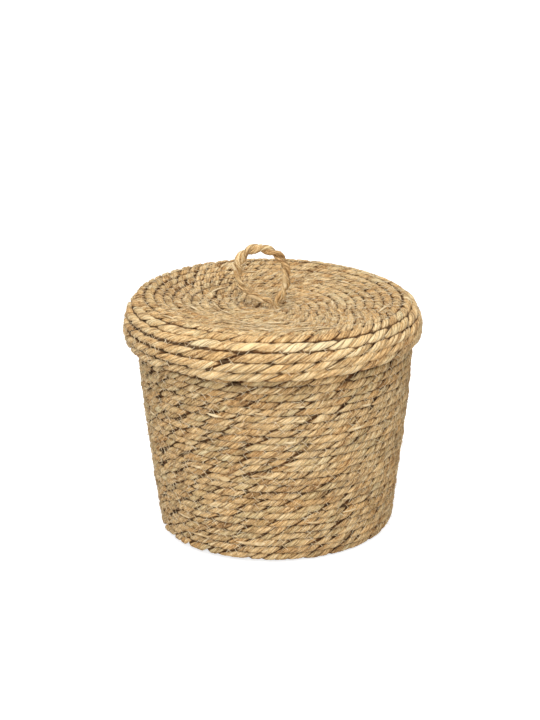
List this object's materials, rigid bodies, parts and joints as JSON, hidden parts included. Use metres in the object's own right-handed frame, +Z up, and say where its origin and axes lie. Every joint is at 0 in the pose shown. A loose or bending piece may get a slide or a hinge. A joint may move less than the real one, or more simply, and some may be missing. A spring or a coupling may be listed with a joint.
{
  "type": "lidded basket",
  "caption": "Round coiled basket of twisted plant-fibre rope, tapering to a flat bottom, with a lift-off lid and a rope loop handle.",
  "frame": {"origin": "middle of the flat bottom, at floor level", "axes": "+Z up through the lid's handle; the open side of the handle's loop faces -Y and +Y"},
  "size_m": [0.2602, 0.2602, 0.2539],
  "materials": {
    "base_rope": "matt twisted seagrass, slightly darker underneath",
    "wall_rope": "matt twisted seagrass, straw brown with paler and greyer blades",
    "lid_rope": "matt twisted seagrass, straw",
    "rim_rope": "slightly silky thicker seagrass rope, pale straw",
    "handle_rope": "slightly silky twisted seagrass, tan",
    "handle_pale_rope": "slightly silky twisted seagrass, pale straw"
  },
  "bodies": {
    "basket": {"base_coil": "base_rope", "wall_coil": "wall_rope"},
    "lid": {"lid_coil": "lid_rope", "rim_coil": "rim_rope", "handle_leg_left": "handle_rope", "handle_leg_right": "handle_rope", "handle_knot": "handle_rope", "handle_tail_left": "handle_rope", "handle_tail_right": "handle_rope"},
    "handle": {"handle_strand_a": "handle_rope", "handle_strand_b": "handle_pale_rope"}
  },
  "joints": [
    {"name": "lid_lift", "type": "slide", "parent": "basket", "child": "lid", "axis": [0, 0, 1], "range_m": [0, 0.25]},
    {"name": "handle_tilt", "type": "hinge", "parent": "lid", "child": "handle", "pos_m": [0, 0, 0.2035], "axis": [1, 0, 0], "range_deg": [-60, 60], "stiffness_Nm_per_rad": 0.008}
  ]
}
